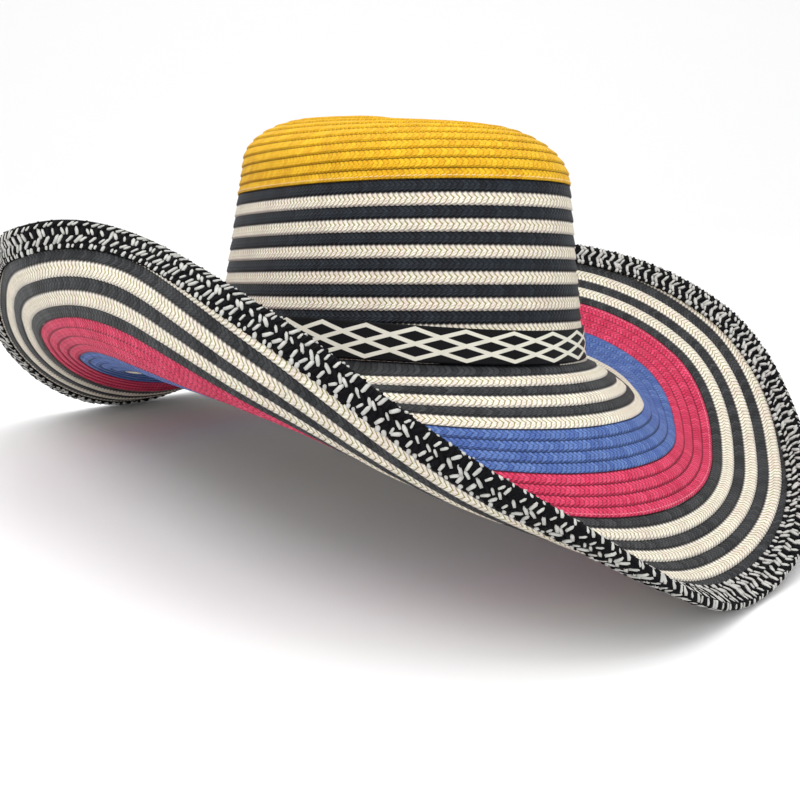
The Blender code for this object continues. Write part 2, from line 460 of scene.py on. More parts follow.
def braided(name, face, stations, above, **settings):
    """A wall of braid with its rows shaped by the tree. above is 1 where straight above its surface is the
    outside, and -1 where that is the inside."""
    azimuths = azimuth_grid(stations)
    outside = face(azimuths, OUTER_LINES, above * WALL / 2)
    inside = face(azimuths, INNER_LINES, -above * WALL / 2)
    piece = shell(name, [outside, inside])
    apply_tree(piece, braid_tree, **settings)
    print(name, len(piece.data.polygons), "faces")
    return piece


# %% [markdown]
# ## The plait as a shader group
#
# Every row is a flat plait of narrow straws that meet in a row of V shapes. Modelling each straw would need
# millions of faces, so this is a bump and colour effect, and four materials share it. The group reads the
# UV map and gives masks and a height: which row this is, how high the straw stands, how deep the shade is
# under the lap of the next row, and where the thin coloured threads of the ivory rows run. The laps are
# scalloped, because the plait's edge turns back on itself every 2.7 mm.

# %% Shader group: plait
STRAW_ROUNDNESS = 3.5
CROSSINGS = 3.0
CROSSING_SHARE = 0.28
plait, given, result = new_group(
    "plait",
    "ShaderNodeTree",
    [
        ("Braid", "Vector"),
        ("Scallop", "Float", 0.07),
        ("Slant", "Float", 0.9),
        ("Straws", "Float", 2.0),
    ],
    [
        ("Row", "Float"),
        ("Relief", "Float"),
        ("Shade", "Float"),
        ("Thread", "Float"),
        ("Straw tone", "Float"),
    ],
)
split = node(plait, "ShaderNodeSeparateXYZ")
feed(split.inputs[0], given["Braid"])
along, over = split.outputs[0], split.outputs[1]
wave = calc(plait, "ABSOLUTE", calc(plait, "SINE", calc(plait, "MULTIPLY", along, 2 * math.pi)))
shifted = calc(plait, "SUBTRACT", over, calc(plait, "MULTIPLY", wave, given["Scallop"]))
row_number = calc(plait, "FLOOR", shifted)
across = calc(plait, "FRACT", shifted)
from_middle = calc(plait, "ABSOLUTE", calc(plait, "SUBTRACT", across, 0.5))
leaning = calc(plait, "MULTIPLY", calc(plait, "MULTIPLY", from_middle, 2.0), given["Slant"])
slanted = calc(plait, "ADD", calc(plait, "MULTIPLY", along, given["Straws"]), leaning)
in_straw = calc(plait, "ABSOLUTE", calc(plait, "SUBTRACT", calc(plait, "FRACT", slanted), 0.5))
fall_off = calc(plait, "POWER", calc(plait, "MULTIPLY", in_straw, 2.0), STRAW_ROUNDNESS)
turns = calc(plait, "ADD", calc(plait, "MULTIPLY", over, CROSSINGS), slanted)
crossing = calc(plait, "SINE", calc(plait, "MULTIPLY", turns, 2 * math.pi))
over_under = calc(plait, "ADD", 1 - CROSSING_SHARE, calc(plait, "MULTIPLY", crossing, CROSSING_SHARE))
bulge = calc(plait, "MULTIPLY", calc(plait, "SUBTRACT", 1.0, fall_off), over_under)
round_edge = ramp(plait, across, 0.86, 1.0, 1.0, 0.45)
relief = calc(plait, "MULTIPLY", bulge, round_edge)
shade = ramp(plait, across, 0.0, 0.16, 0.0, 1.0)
between = calc(plait, "FRACT", calc(plait, "ADD", slanted, 0.5))
zigzag = calc(plait, "ABSOLUTE", calc(plait, "SUBTRACT", between, 0.5))
inside_row = ramp(plait, from_middle, 0.26, 0.34, 1.0, 0.0)
thread = calc(plait, "MULTIPLY", ramp(plait, zigzag, 0.05, 0.17, 1.0, 0.0), inside_row)
cell = plug(node(plait, "ShaderNodeCombineXYZ"), X=calc(plait, "FLOOR", slanted), Y=row_number)
dice = plug(node(plait, "ShaderNodeTexWhiteNoise", noise_dimensions="2D"), Vector=cell.outputs[0])
for title, value in (
    ("Row", row_number),
    ("Relief", relief),
    ("Shade", shade),
    ("Thread", thread),
    ("Straw tone", dice.outputs["Value"]),
):
    feed(result[title], value)
print("plait group:", len(plait.nodes), "nodes")

# %% [markdown]
# ## Handling and fading
#
# Straw isn't one even colour: dye takes unevenly, and broad patches are a little paler or duller. The same
# soft mottling suits every material here, so it is a second group, on Object coordinates.

# %% Shader group: mottle
mottle, given, result = new_group(
    "mottle",
    "ShaderNodeTree",
    [("Colour", "Color"), ("Patches", "Float", 60.0), ("Amount", "Float", 0.12)],
    [("Colour", "Color")],
)
where = node(mottle, "ShaderNodeTexCoord").outputs["Object"]
patch = plug(node(mottle, "ShaderNodeTexNoise"), Vector=where, Scale=given["Patches"], Detail=3.0)
swing = calc(mottle, "MULTIPLY", calc(mottle, "SUBTRACT", patch.outputs[0], 0.5), 2.0)
strength = calc(mottle, "ADD", 1.0, calc(mottle, "MULTIPLY", swing, given["Amount"]))
feed(result["Colour"], darken(mottle, given["Colour"], strength))
print("mottle group:", len(mottle.nodes), "nodes")

# %% [markdown]
# ## The straw finishes
#
# Straw is matt with a faint gloss on each straw. The colour comes from the row: a plain colour for yellow,
# blue and red, and black or ivory by even and odd rows for the striped walls. Each finish has two shades of
# its dye, mixed straw by straw. The brim's black is lighter and a more neutral grey than the crown's, and
# the lighter black is painted light for the brightly lit brim. Painted shade darkens the crevices between
# straws and the place under each lap, and the bump gives the plait its relief.

# %% Straw materials
BLACK = (0.004, 0.006, 0.010, 1)
BLACK_HIGH = (0.013, 0.019, 0.027, 1)
# The brim's black is lighter than the crown's black as painted light for the brightly lit brim.
LIT_BRIM_BLACK = (0.015, 0.016, 0.018, 1)
LIT_BRIM_BLACK_HIGH = (0.045, 0.047, 0.050, 1)
IVORY = (0.78, 0.75, 0.64, 1)
BLUSH = (0.76, 0.65, 0.58, 1)
BLUSH_SHARE = 0.8
OLIVE = (0.50, 0.42, 0.06, 1)
OLIVE_SHARE = 0.9
YELLOW = (0.68, 0.35, 0.006, 1)
YELLOW_HIGH = (0.79, 0.46, 0.014, 1)
BLUE_DYE = (0.060, 0.120, 0.37, 1)
BLUE_HIGH = (0.115, 0.200, 0.48, 1)
RED_DYE = (0.60, 0.024, 0.085, 1)
RED_HIGH = (0.76, 0.060, 0.145, 1)
STRAW_PATCHES = ((70.0, 0.16), (800.0, 0.35))


def shader_of(name):
    material = bpy.data.materials.new(name)
    material.use_nodes = True
    return material, material.node_tree, material.node_tree.nodes["Principled BSDF"]


def use_group(tree, group, **values):
    return plug(node(tree, "ShaderNodeGroup", node_tree=group), **values).outputs


def braid_map(tree):
    return node(tree, "ShaderNodeUVMap", uv_map="braid").outputs[0]


def add_bump(tree, shader, height, strength, distance):
    bump = plug(node(tree, "ShaderNodeBump"), Strength=strength, Distance=distance, Height=height)
    feed(shader.inputs["Normal"], bump.outputs[0])


def straw(name, low, high, crevice, roughness, striped=False, slant=0.9, under_lap=0.2, depth=0.0005):
    """A straw finish. crevice and under_lap say how much colour is left in the painted shade between straws
    and under a lap. In a striped one the even rows have the two given colours and the odd ones are ivory."""
    material, tree, shader = shader_of(name)
    braid = use_group(tree, plait, Braid=braid_map(tree), Slant=slant)
    tone = blend(tree, braid["Straw tone"], low, high)
    if striped:
        ivory = blend(tree, calc(tree, "MULTIPLY", braid["Straw tone"], BLUSH_SHARE), IVORY, BLUSH)
        ivory = blend(tree, calc(tree, "MULTIPLY", braid["Thread"], OLIVE_SHARE), ivory, OLIVE)
        row = calc(tree, "ABSOLUTE", calc(tree, "ADD", braid["Row"], 0.25))
        is_odd = calc(tree, "GREATER_THAN", calc(tree, "MODULO", row, 2.0), 1.0)
        tone = blend(tree, is_odd, tone, ivory)
    for patches, amount in STRAW_PATCHES:
        tone = use_group(tree, mottle, Colour=tone, Patches=patches, Amount=amount)["Colour"]
    # Painted shade: the colour darkens where the relief is low, between straws and at the rounded edge of
    # each row, and near the lap, under the edge of the next row.
    painted_crevice_shade = ramp(tree, braid["Relief"], 0.0, 0.7, crevice, 1.0)
    painted_lap_shade = ramp(tree, braid["Shade"], 0.0, 1.0, under_lap, 1.0)
    tone = darken(tree, tone, calc(tree, "MULTIPLY", painted_crevice_shade, painted_lap_shade))
    gloss = ramp(tree, braid["Relief"], 0.2, 1.0, roughness + 0.15, roughness)
    plug(shader, Base_Color=tone, Roughness=gloss, Specular_IOR_Level=0.2)
    add_bump(tree, shader, braid["Relief"], 0.9, depth)
    return material


YELLOW_STRAW = straw("yellow straw", YELLOW, YELLOW_HIGH, 0.72, 0.6, slant=0.6, under_lap=0.1)
BLUE_STRAW = straw("blue straw", BLUE_DYE, BLUE_HIGH, 0.45, 0.55, depth=0.0007)
RED_STRAW = straw("red straw", RED_DYE, RED_HIGH, 0.42, 0.55, depth=0.0007)
CROWN_STRIPES = straw("striped straw of the crown", BLACK, BLACK_HIGH, 0.45, 0.5, striped=True)
LIT_BRIM_STRIPES = straw("lit striped straw of the brim", LIT_BRIM_BLACK, LIT_BRIM_BLACK_HIGH, 0.45, 0.5, striped=True)
print("straw materials:", [material.name for material in bpy.data.materials if "straw" in material.name])

# %% [markdown]
# ## The yellow top of the crown
#
# The braid starts here, in the middle of the lid, with a short straight length from front to back, and coils
# outwards over the shoulder and down the side. Scaled copies of one oval would crowd the rows at the sides
# of the lid. So the rows there are counted by their distance from the straight start, which keeps them
# nearly even, and on the shoulder and the side by height and reach along a fine line.

# %% Yellow rows
SIDE_ROW = 0.0051
FLAT_REACH = 0.0066
STEEP_REACH = 0.034
YELLOW_ROWS = 13
COIL_FRONT = -0.037
COIL_BACK = 0.050
STRAY = 0.02
NEAR_MIDDLE = 1.985
TOP_STATIONS = 560


def yellow_rows_at(azimuths, profile):
    """How many rows lie below each place: counted by height where the wall is steep and by reach where it
    is flat, and on the lid by the distance from the straight start of the coil."""
    points = crown_top(azimuths, profile[None, :])
    steps = np.diff(points, axis=1)
    flat = np.clip(0.5 * (profile[1:] + profile[:-1]), 0, 1)
    flat = flat * flat * (3 - 2 * flat)
    reach_of_row = STEEP_REACH + (FLAT_REACH - STEEP_REACH) * flat
    more = np.abs(steps[..., 2]) / SIDE_ROW + np.linalg.norm(steps[..., :2], axis=-1) / reach_of_row
    counted = np.concatenate([np.zeros((len(steps), 1)), np.cumsum(more, axis=1)], axis=1)
    lid = int(np.searchsorted(profile, 1.0))
    x, y = points[:, lid:, 0], points[:, lid:, 1]
    from_coil = np.hypot(x, y - np.clip(y, COIL_FRONT, COIL_BACK)) + STRAY * np.hypot(x, y)
    at_rim = counted[:, lid : lid + 1]
    on_lid = at_rim + (YELLOW_ROWS - at_rim) * (1 - from_coil / from_coil[:, :1])
    return np.concatenate([counted[:, :lid], on_lid], axis=1)


def places_by_row(azimuths, profile, rows):
    """For each azimuth, the profile places at which the row count reaches the wanted values."""
    counted = yellow_rows_at(azimuths, profile)
    return np.stack([np.interp(rows, counted[k], profile) for k in range(len(azimuths))])


def yellow_face(azimuths, fractions, lift):
    """Rows are counted from the lid's middle outwards, so that the laps run the right way."""
    place, value = lines(YELLOW_ROWS, fractions)
    profile = np.concatenate([np.linspace(-1, 0, 8)[:-1], np.linspace(0, 1, 60)[:-1], np.linspace(1, 2, 80)])
    inward = np.clip(places_by_row(azimuths, profile, YELLOW_ROWS - place), -1, NEAR_MIDDLE)
    points = lifted(crown_top, azimuths, inward, lift)
    return points, value, np.ones(points.shape[:2])


finish = {"Lap_height": 0.0010, "Seed": 1.0, "Finish": YELLOW_STRAW}
crown_top_piece = braided("crown_top_rows", yellow_face, TOP_STATIONS, -1, **finish)

# %% [markdown]
# ## The striped side of the crown
#
# Below the yellow, black and ivory rows go down to the brim. The black ones are a little narrower, because
# the ivory plait lies flatter. They are counted by height, so the same helper of lines serves here. The
# foot reaches a little way into the brim, as a sewn edge does, so that no light shows through the seam.
# The brim rises and falls round the crown, so lines of points below its seam are squeezed together there.

# %% Striped rows of the crown
BLACK_ROW = 0.00584
IVORY_ROW = 0.00629
SEWN_IN = 0.0010
SQUEEZED = 0.00002
SIDE_ROWS = 15
SIDE_STATIONS = 620


def row_edges(count, black, ivory):
    """Distance to the start of each row, black first."""
    return np.concatenate([[0], np.cumsum([ivory if k % 2 else black for k in range(count)])])


def side_face(azimuths, fractions, lift):
    place, value = lines(SIDE_ROWS, fractions)
    down = np.interp(place, np.arange(SIDE_ROWS + 1), row_edges(SIDE_ROWS, BLACK_ROW, IVORY_ROW))
    foot = crown_value("foot_height", azimuths) + STAND_OFF - SEWN_IN
    lowest = foot + SQUEEZED * (SIDE_ROWS - place[None, :])
    points = lifted(crown_side, azimuths, np.maximum(YELLOW_EDGE - down[None, :], lowest), lift)
    return points, value, np.ones(points.shape[:2])


finish = {"Lap_height": 0.0008, "Seed": 2.0, "Finish": CROWN_STRIPES}
crown_wall_piece = braided("crown_side_rows", side_face, SIDE_STATIONS, -1, **finish)

# %% [markdown]
# ## The brim, zone by zone
#
# The brim has four zones of rows. The inner stripes start under the crown, and the coil is a little off its
# middle, so the first full black row starts further out at the sides than at the front. There the first
# rows are tucked under the crown. The outer stripes run out under the edging: the front is wider, so it
# shows two more rows than the sides. Each zone is its own wall, as in the solid model, and ends where that
# one ends. The rows lose their relief under the edging, and at the back they are a little wider.

# %% Rows of the brim
BRIM_BLACK_ROW = 0.00555
BRIM_IVORY_ROW = 0.0070
PLAIN_ROW = 0.0059
PLAIN_ROWS = 4
INNER_ROWS = 8
OUTER_ROWS = 9
FRONT_MIDDLE = 325
FRONT_HALF = 45
FRONT_FADE = 15
TUCKED_ROWS = 2.4
FADE_LENGTH = 0.003
BACK_STRETCH = 0.22
BRIM_STATIONS = 1150


def brim_face(count, distance_at, fade_after):
    def face(azimuths, fractions, lift):
        place, value = lines(count, fractions)
        distance = distance_at(azimuths, place)
        points = lifted(brim, azimuths, distance, lift)
        fade = np.ones(points.shape[:2])
        if fade_after is not None:
            fade = 1 - np.clip((distance - fade_after(azimuths)) / FADE_LENGTH, 0, 1)
        return points, value, fade

    return face


def inner_distance(azimuths, place):
    """Rows counted from under the crown, black first, so that an ivory one meets the blue."""
    edges = row_edges(INNER_ROWS, BRIM_BLACK_ROW, BRIM_IVORY_ROW)
    start = brim_value("blue_start", azimuths) - edges[-1]
    distance = start + np.interp(place, np.arange(INNER_ROWS + 1), edges)[None, :]
    under_crown = -WALL / 2 + SQUEEZED * place[None, :]
    in_front = np.clip((FRONT_HALF - np.abs(azimuths - FRONT_MIDDLE)) / FRONT_FADE, 0, 1)
    tucked = np.where(place[None, :] < TUCKED_ROWS, in_front, 0)
    distance = np.maximum(distance, under_crown)
    return under_crown + (distance - under_crown) * (1 - tucked)


def plain_distance(after):
    def distance_at(azimuths, place):
        return brim_value("blue_start", azimuths) + after + place[None, :] * PLAIN_ROW

    return distance_at


def back_stretch(azimuths):
    """Rows at the back are a little wider, to fill the longer back of the brim."""
    return 1 + BACK_STRETCH * ((1 - np.cos(np.radians(azimuths))) / 2) ** 3


def outer_distance(azimuths, place):
    edges = row_edges(OUTER_ROWS, BRIM_BLACK_ROW, BRIM_IVORY_ROW)
    start = brim_value("blue_start", azimuths) + BLUE + RED
    distance = start + np.interp(place, np.arange(OUTER_ROWS + 1), edges)[None, :] * back_stretch(azimuths)
    furthest = brim_value("width", azimuths) - RIM_ROOM - SQUEEZED * (OUTER_ROWS - place[None, :])
    return np.minimum(distance, furthest)


def edging_start(azimuths):
    return brim_value("width", azimuths) - EDGING


ZONES = (
    ("brim_inner_rows", INNER_ROWS, inner_distance, None, 4.0, LIT_BRIM_STRIPES),
    ("brim_blue_rows", PLAIN_ROWS, plain_distance(0), None, 5.0, BLUE_STRAW),
    ("brim_red_rows", PLAIN_ROWS, plain_distance(BLUE), None, 6.0, RED_STRAW),
    ("brim_outer_rows", OUTER_ROWS, outer_distance, edging_start, 7.0, LIT_BRIM_STRIPES),
)
brim_pieces = {}
for name, count, distance_at, fade_after, seed, material in ZONES:
    face = brim_face(count, distance_at, fade_after)
    brim_pieces[name] = braided(name, face, BRIM_STATIONS, 1, Seed=seed, Finish=material)

# %% [markdown]
# ## The ribbon
#
# A black satin ribbon with an ivory lattice of three rows of diamonds goes round the foot of the crown. Its
# lattice is two families of slanted lines, so the material makes it from the UV map with two folded
# fractions. A limit at the top and the bottom cuts the diamonds there to short peaks. That keeps every line
# sharp at any size, and the printed ink is a little glossier than the ribbon.

# %% Ribbon
BAND_STATIONS = 480
DIAMONDS = 26
FIRST_PEAK = -0.2
LATTICE_HEIGHT = 2.44
LATTICE_MARGIN = 0.22
LINE_EDGE = (0.125, 0.150)
PEAK_CUT = 0.14
RIBBON_BLACK = (0.004, 0.004, 0.005, 1)
INK = (0.66, 0.65, 0.56, 1)


def ribbon_face(azimuths, lift, edge_lift):
    up = np.array([0, 0.02, 0.06, 0.25, 0.5, 0.75, 0.94, 0.98, 1])
    lifts = np.full(len(up), lift)
    lifts[[0, -1]] = edge_lift
    bottom = around(BAND_EDGES, BAND_COLUMNS, "bottom", azimuths)
    top = around(BAND_EDGES, BAND_COLUMNS, "top", azimuths)
    height = crown_value("foot_height", azimuths) + bottom + (top - bottom) * up[None, :]
    return lifted(crown_side, azimuths, height, lifts[None, :]), up, np.zeros((len(azimuths), len(up)))


azimuths = azimuth_grid(BAND_STATIONS)
against = -WALL / 2 - GAP
outside = ribbon_face(azimuths, against - TAPE, against - TAPE * 0.6)
inside = ribbon_face(azimuths, against, against - TAPE * 0.3)
ribbon = shell("ribbon", [outside, inside], DIAMONDS)
satin, tree, shader = shader_of("ribbon with lattice")
split = plug(node(tree, "ShaderNodeSeparateXYZ"), Vector=braid_map(tree))
cells = calc(tree, "ADD", split.outputs[0], FIRST_PEAK)
rows_down = calc(tree, "MULTIPLY", calc(tree, "SUBTRACT", 1.0, split.outputs[1]), LATTICE_HEIGHT)
rows_down = calc(tree, "SUBTRACT", rows_down, LATTICE_MARGIN)


def folded(value):
    return calc(tree, "ABSOLUTE", calc(tree, "SUBTRACT", calc(tree, "FRACT", value), 0.5))


rising = ramp(tree, folded(calc(tree, "ADD", cells, rows_down)), *LINE_EDGE, 1.0, 0.0)
falling = ramp(tree, folded(calc(tree, "SUBTRACT", cells, rows_down)), *LINE_EDGE, 1.0, 0.0)
limit = calc(tree, "SUBTRACT", folded(cells), PEAK_CUT)
below_top = calc(tree, "GREATER_THAN", rows_down, limit)
above_bottom = calc(tree, "GREATER_THAN", calc(tree, "SUBTRACT", 2.0, rows_down), limit)
inside_print = calc(tree, "MULTIPLY", below_top, above_bottom)
printed = calc(tree, "MULTIPLY", calc(tree, "MAXIMUM", rising, falling), inside_print)
ink = use_group(tree, mottle, Colour=INK, Patches=120.0, Amount=0.12)["Colour"]
gloss = ramp(tree, printed, 0.0, 1.0, 0.55, 0.32)
plug(shader, Base_Color=blend(tree, printed, RIBBON_BLACK, ink), Roughness=gloss, Specular_IOR_Level=0.1)
ribs = node(tree, "ShaderNodeTexWave", wave_type="BANDS", bands_direction="Y")
plug(ribs, Vector=braid_map(tree), Scale=14.0)
relief = calc(tree, "ADD", calc(tree, "MULTIPLY", ribs.outputs["Fac"], 0.3), printed)
add_bump(tree, shader, relief, 0.25, 0.0002)
ribbon.data.materials.append(satin)
print("ribbon:", len(ribbon.data.polygons), "faces,", DIAMONDS, "diamonds round")

# %% [markdown]
# ## The edging tape
#
# A black tape is folded over the rim and covers nearly 14 mm of both faces. Its section is a flat U with a
# soft round at the fold, and its two free edges are scalloped by the weave.

# %% Edging tape
TAPE_STATIONS = 1450
SCALLOPS = 290
SCALLOP_DEPTH = 0.0008
SCALLOP_START = -0.0120
SCALLOP_FADE = 0.0015
TAPE_BLACK = (0.005, 0.005, 0.006, 1)
TAPE_SECTION = (
    # past the rim, lift
    (-0.0138, 0.0015),
    (-0.0137, 0.0020),
    (-0.0130, 0.0023),
    (-0.0110, 0.0024),
    (-0.0080, 0.0023),
    (-0.0050, 0.0023),
    (-0.0020, 0.0023),
    (-0.0007, 0.0019),
    (0.0000, 0.0010),
)


def tape_face(azimuths, outside):
    """One side of the folded tape: out to the rim on the top, then back on the underside."""
    past = np.array([row[0] for row in TAPE_SECTION])
    lift = np.array([row[1] if outside else min(row[1], WALL / 2 + GAP) for row in TAPE_SECTION])
    if not outside:
        past = np.minimum(past, GAP - RIM_ROOM)
    past = np.concatenate([past, past[::-1]])
    lift = np.concatenate([lift, -lift[::-1]])
    weight = np.clip((SCALLOP_START - past) / SCALLOP_FADE, 0, 1)
    wave = np.abs(np.sin(np.radians(azimuths) * SCALLOPS / 2)) - 0.5
    distance = brim_value("width", azimuths) + past[None, :] - SCALLOP_DEPTH * wave * weight[None, :]
    value = np.linspace(0, 2, len(past))
    return lifted(brim, azimuths, distance, lift[None, :]), value, np.zeros((len(azimuths), len(past)))


azimuths = azimuth_grid(TAPE_STATIONS)
tape = shell("edging_tape", [tape_face(azimuths, True), tape_face(azimuths, False)])
weave, tree, shader = shader_of("black edging tape")
strands = use_group(tree, plait, Braid=braid_map(tree), Scallop=0.0, Slant=3.0)
dye = use_group(tree, mottle, Colour=TAPE_BLACK, Patches=200.0, Amount=0.4)["Colour"]
plug(shader, Base_Color=dye, Roughness=0.85, Specular_IOR_Level=0.08)
add_bump(tree, shader, strands["Relief"], 0.8, 0.0006)
tape.data.materials.append(weave)
print("edging tape:", len(tape.data.polygons), "faces")

# %% [markdown]
# ## Floats and stitches
#
# The tape is woven: white and black threads float over it in short slanted dashes, with a dot at each
# scallop. They lie in lanes along the rim, and of every five places in a lane three are white and two
# black. The sewing thread shows as short pale stitches near the edge of the last yellow row and of the last
# red one. All of these are one small rounded shape, repeated thousands of times on a curved surface. So one
# Geometry Nodes tree puts a low icosphere on each of a set of loose points, which carry their own direction
# and size as attributes. A power below 1 on each coordinate makes the shape blunter than an egg.

# %% Geometry Nodes: thread ends
thread_tree, given, result = new_group(
    "thread ends",
    "GeometryNodeTree",
    [
        ("Places", "Geometry"),
        ("Size change", "Float", 0.2),
        ("Bluntness", "Float", 0.65),
        ("Seed", "Int", 5),
        ("Finish", "Material"),
    ],
    [("Threads", "Geometry")],
)
as_points = plug(node(thread_tree, "GeometryNodeMeshToPoints"), Mesh=given["Places"])
grain = plug(node(thread_tree, "GeometryNodeMeshIcoSphere"), Radius=0.5, Subdivisions=1)
corner = node(thread_tree, "GeometryNodeInputPosition").outputs[0]
sides = plug(node(thread_tree, "ShaderNodeSeparateXYZ"), Vector=corner)
blunt = node(thread_tree, "ShaderNodeCombineXYZ")
for k in range(3):
    doubled = calc(thread_tree, "MULTIPLY", sides.outputs[k], 2.0)
    fuller = calc(thread_tree, "POWER", calc(thread_tree, "ABSOLUTE", doubled), given["Bluntness"])
    signed = calc(thread_tree, "MULTIPLY", calc(thread_tree, "SIGN", doubled), fuller)
    feed(blunt.inputs[k], calc(thread_tree, "MULTIPLY", signed, 0.5))
fill_out = node(thread_tree, "GeometryNodeSetPosition")
plug(fill_out, Geometry=grain.outputs["Mesh"], Position=blunt.outputs[0])
smooth = plug(node(thread_tree, "GeometryNodeSetShadeSmooth"), Geometry=fill_out.outputs[0])
turn = node(thread_tree, "FunctionNodeAxesToRotation", primary_axis="Z", secondary_axis="X")
feed(turn.inputs[0], attribute(thread_tree, "facing", "FLOAT_VECTOR"))
feed(turn.inputs[1], attribute(thread_tree, "heading", "FLOAT_VECTOR"))
change = node(thread_tree, "FunctionNodeRandomValue", data_type="FLOAT")
for title, operation in (("Min", "SUBTRACT"), ("Max", "ADD")):
    limit = [socket for socket in change.inputs if socket.name == title and socket.type == "VALUE"][0]
    feed(limit, calc(thread_tree, operation, 1.0, given["Size change"]))
feed(change.inputs["Seed"], given["Seed"])
size = node(thread_tree, "ShaderNodeVectorMath", operation="SCALE")
plug(size, Vector=attribute(thread_tree, "size", "FLOAT_VECTOR"), Scale=change.outputs[1])
place_each = node(thread_tree, "GeometryNodeInstanceOnPoints")
plug(place_each, Points=as_points.outputs[0], Instance=smooth.outputs[0])
plug(place_each, Rotation=turn.outputs[0], Scale=size.outputs[0])
finish_tree(thread_tree, place_each.outputs[0], given, result)

# %% [markdown]
# The points come from plain formulas, lane by lane. Weaving by hand isn't even, so each thread of the edging
# strays a little along its lane, turns by up to STRAY_TURN degrees, and is up to PLUMPER fuller on the side
# of the brim that faces away from the azimuth TIGHTEST.

# %% Threads on a surface
TIGHTEST = 300
PLUMPER = 0.35
STRAY_TURN = 18
STRAY_SHARE = 0.2
PLACES = 5
FINE_STEPS = 2400


def evenly(surface, distance_at, count):
    """Azimuths that space points evenly along a row."""
    fine = azimuth_grid(FINE_STEPS)
    points = surface(fine, distance_at(fine))[:, 0]
    steps = np.linalg.norm(np.roll(points, -1, axis=0) - points, axis=-1)
    travelled = np.concatenate([[0], np.cumsum(steps)])
    wanted = np.arange(count) * travelled[-1] / count
    return np.interp(wanted, travelled, np.arange(FINE_STEPS + 1) * 360 / FINE_STEPS)[:, None], travelled[-1]


def threads(surface, distance_at, pitch, shift, lift, slant, size, tilt=0.0, loose=0.0, chosen=range(PLACES)):
    """Points with a facing, a heading and a size, in one lane along a surface. slant is measured from
    straight across the lane and tilt leans the lane over the rim, in degrees. loose, up to 1, makes the
    weaving irregular. chosen says which of every five places have a thread."""
    dice = np.random.default_rng(int(abs(slant) * 7 + pitch * 1e6 + (lift > 0)))
    whole = evenly(surface, distance_at, 10)[1]
    azimuths = evenly(surface, distance_at, round(whole / pitch))[0]
    stray = loose * STRAY_SHARE * dice.uniform(-1, 1, azimuths.shape)
    azimuths = azimuths + (shift + stray) * 360 * pitch / whole
    azimuths = azimuths[np.isin((np.arange(len(azimuths)) + round(shift * PLACES)) % PLACES, chosen)]
    distance = distance_at(azimuths)
    lift = np.full_like(distance, lift)
    here = lifted(surface, azimuths, distance, lift)[:, 0]
    outward = unit(lifted(surface, azimuths, distance + PROBE, lift)[:, 0] - here)
    sideways = unit(lifted(surface, azimuths + 0.1, distance, lift)[:, 0] - here)
    upward = unit(lifted(surface, azimuths, distance, lift * 1.5)[:, 0] - here)
    lean = math.radians(tilt)
    over_rim = outward * math.cos(lean) - upward * math.sin(lean)
    facing = upward * math.cos(lean) + outward * math.sin(lean)
    angle = np.radians(slant + loose * STRAY_TURN * dice.uniform(-1, 1, (len(here), 1)))
    heading = over_rim * np.cos(angle) + sideways * np.sin(angle)
    turn_only = np.array(stand.to_3x3()).T
    plump = 1 + loose * PLUMPER * (1 - np.cos(np.radians(azimuths - TIGHTEST))) / 2
    return standing(here), facing @ turn_only, heading @ turn_only, np.array(size) * plump


def thread_piece(name, lanes, finish, seed, size_change):
    points, facing, heading, size = (np.concatenate(part) for part in zip(*lanes))
    mesh = bpy.data.meshes.new(name)
    mesh.from_pydata(points.tolist(), [], [])
    for title, values in (("facing", facing), ("heading", heading), ("size", size)):
        made = mesh.attributes.new(title, "FLOAT_VECTOR", "POINT")
        made.data.foreach_set("vector", values.astype(np.float32).ravel())
    piece = put_in_scene(name, mesh)
    apply_tree(piece, thread_tree, Finish=finish, Seed=seed, Size_change=size_change)
    print(name, len(points), "threads,", len(piece.data.polygons), "faces")
    return piece


def cotton(name, colour, amount):
    material, tree, shader = shader_of(name)
    dye = use_group(tree, mottle, Colour=colour, Patches=300.0, Amount=amount)["Colour"]
    plug(shader, Base_Color=dye, Roughness=0.6)
    return material


white_thread = cotton("white thread", (0.46, 0.455, 0.43, 1), 0.4)
pale_thread = cotton("pale stitching thread", (0.82, 0.56, 0.24, 1), 0.2)
pink_thread = cotton("pink stitching thread", (0.80, 0.22, 0.30, 1), 0.2)

# %% Floats of the edging
FLOAT_PITCH = 0.0028
WHITE_PLACES = (0, 1, 3)
BLACK_PLACES = (2, 4)
LANES = (
    # past the rim, shift, lift, tilt, slant, length, width, faces of the brim
    (-0.0127, 0.00, 0.0023, 0, 5, 0.0024, 0.0018, (1, -1)),
    (-0.0096, 0.60, 0.0024, 0, 40, 0.0046, 0.0016, (1, -1)),
    (-0.0059, 0.20, 0.0024, 0, -36, 0.0048, 0.0016, (1, -1)),
    (-0.0023, 0.80, 0.0022, 20, 38, 0.0042, 0.0015, (1, -1)),
    (-0.0002, 0.40, 0.0001, 90, 30, 0.0034, 0.0014, (1,)),
)


def past_rim(past):
    return lambda azimuths: brim_value("width", azimuths) + past


def float_lanes(chosen, height):
    made = []
    for past, shift, lift, tilt, slant, length, width, sides in LANES:
        lane, size = past_rim(past), (length, width, height)
        for side in sides:
            made.append(threads(brim, lane, FLOAT_PITCH, shift, lift * side, slant, size, tilt, 1.0, chosen))
    return made


floats = thread_piece("edging_floats", float_lanes(WHITE_PLACES, 0.0011), white_thread, 5, 0.25)
black_floats = thread_piece("edging_black_floats", float_lanes(BLACK_PLACES, 0.0013), weave, 6, 0.2)

# %% Stitches on the last rows
STITCH_PITCH = 0.0027
RED_INSET = 0.22 * PLAIN_ROW
YELLOW_INSET = 0.0013


def last_red(azimuths):
    return brim_value("blue_start", azimuths) + BLUE + RED - RED_INSET


def last_yellow(azimuths):
    return np.full(azimuths.shape, YELLOW_EDGE + YELLOW_INSET)


